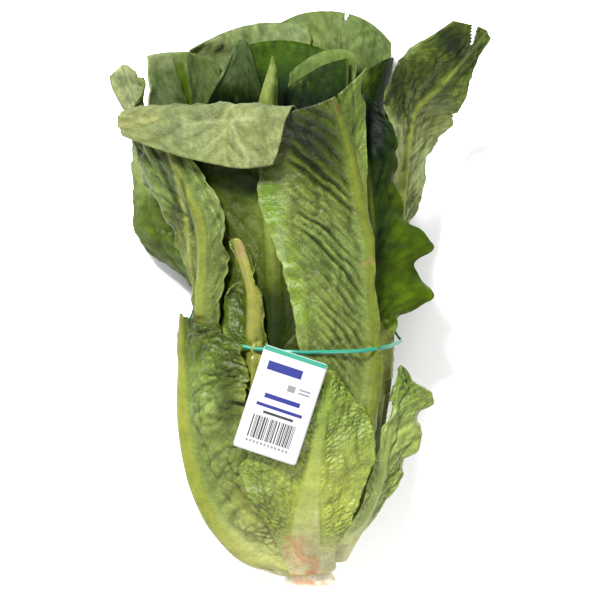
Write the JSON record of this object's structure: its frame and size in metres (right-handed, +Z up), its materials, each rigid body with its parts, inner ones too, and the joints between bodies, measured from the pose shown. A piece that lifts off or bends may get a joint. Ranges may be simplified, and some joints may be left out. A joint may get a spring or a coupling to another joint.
{
  "type": "romaine lettuce head",
  "caption": "Whole romaine lettuce head lying on its side, bound round the waist by a twist tie with a plain card tag.",
  "frame": {"origin": "middle of the small flat spot under the lowest leaf rib, on the surface that the head lies on", "axes": "+Y from the cut stem to the leaf tips, +Z up from the surface, +X to the head's right seen from above with the tips away"},
  "size_m": [0.2218, 0.3378, 0.1114],
  "materials": {
    "stem": "moist cut stem, cream with a tan cut face",
    "leaf_front": "crinkled leaf, yellow-green with a pale rib",
    "leaf_young": "blistered leaf, bright yellow-green",
    "leaf_fold": "leaf underside, pale grey-green with raised veins",
    "leaf_side": "semi-gloss leaf, mid green",
    "leaf_dark": "semi-gloss leaf, dark green",
    "leaf_crown": "leaf seen from inside, blue-green with pale veins",
    "leaf_heart": "young leaf, light green",
    "tie": "satin plastic over wire, teal green",
    "card": "coated white card with plain printed rules"
  },
  "bodies": {
    "root": {"stem": "stem", "back_leaf_left": "leaf_side", "back_leaf_middle": "leaf_side", "back_leaf_right": "leaf_side", "broken_leaf_left": "leaf_young", "crown_leaf_arc": "leaf_crown", "crown_leaf_back_left": "leaf_crown", "crown_leaf_back_right": "leaf_crown", "crown_leaf_left": "leaf_crown", "crown_leaf_right": "leaf_crown", "far_leaf_left": "leaf_dark", "flared_leaf_right": "leaf_side", "fold_leaf": "leaf_fold", "front_rib_leaf": "leaf_front", "heart_leaf_1": "leaf_heart", "heart_leaf_2": "leaf_heart", "heart_leaf_3": "leaf_heart", "inner_leaf_back": "leaf_crown", "inner_leaf_front": "leaf_crown", "inner_leaf_pointed_left": "leaf_crown", "inner_leaf_pointed_middle": "leaf_crown", "inner_leaf_right": "leaf_crown", "short_leaf_front": "leaf_young", "short_leaf_left": "leaf_front", "short_leaf_right": "leaf_young", "side_leaf_left": "leaf_side", "waved_leaf_right": "leaf_dark", "twist_tie": "tie", "tag": "card"}
  },
  "joints": []
}
